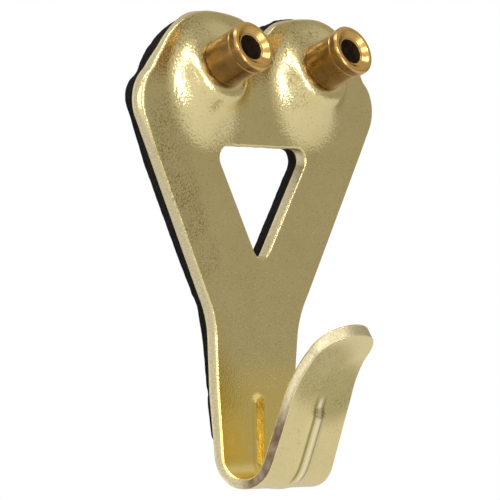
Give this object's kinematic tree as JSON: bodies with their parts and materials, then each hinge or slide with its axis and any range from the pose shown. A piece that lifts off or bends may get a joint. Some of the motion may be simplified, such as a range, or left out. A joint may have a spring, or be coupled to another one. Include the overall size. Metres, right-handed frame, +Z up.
{
  "type": "picture hook",
  "caption": "Nail-on picture hook: brass-plated sheet with a triangular window, slanted nails with turned brass heads, a J hook with a flared lip, and a soft black backing pad.",
  "frame": {"origin": "on the wall plane (the back of the pad), in the hook's middle plane, at the height where the nails enter the wall", "axes": "+Z up, +Y into the wall, +X to the right when facing the wall"},
  "size_m": [0.0314, 0.0227, 0.0443],
  "materials": {
    "plate": "bright brass plating on pressed sheet, fine orange-peel where it was drawn",
    "pad": "matte black foam rubber",
    "head_brass": "turned solid brass, bright",
    "nail_steel": "hardened steel wire"
  },
  "bodies": {
    "root": {"hook_plate": "plate", "backing_pad": "pad", "left_nail_head": "head_brass", "right_nail_head": "head_brass", "left_nail": "nail_steel", "right_nail": "nail_steel"}
  },
  "joints": []
}
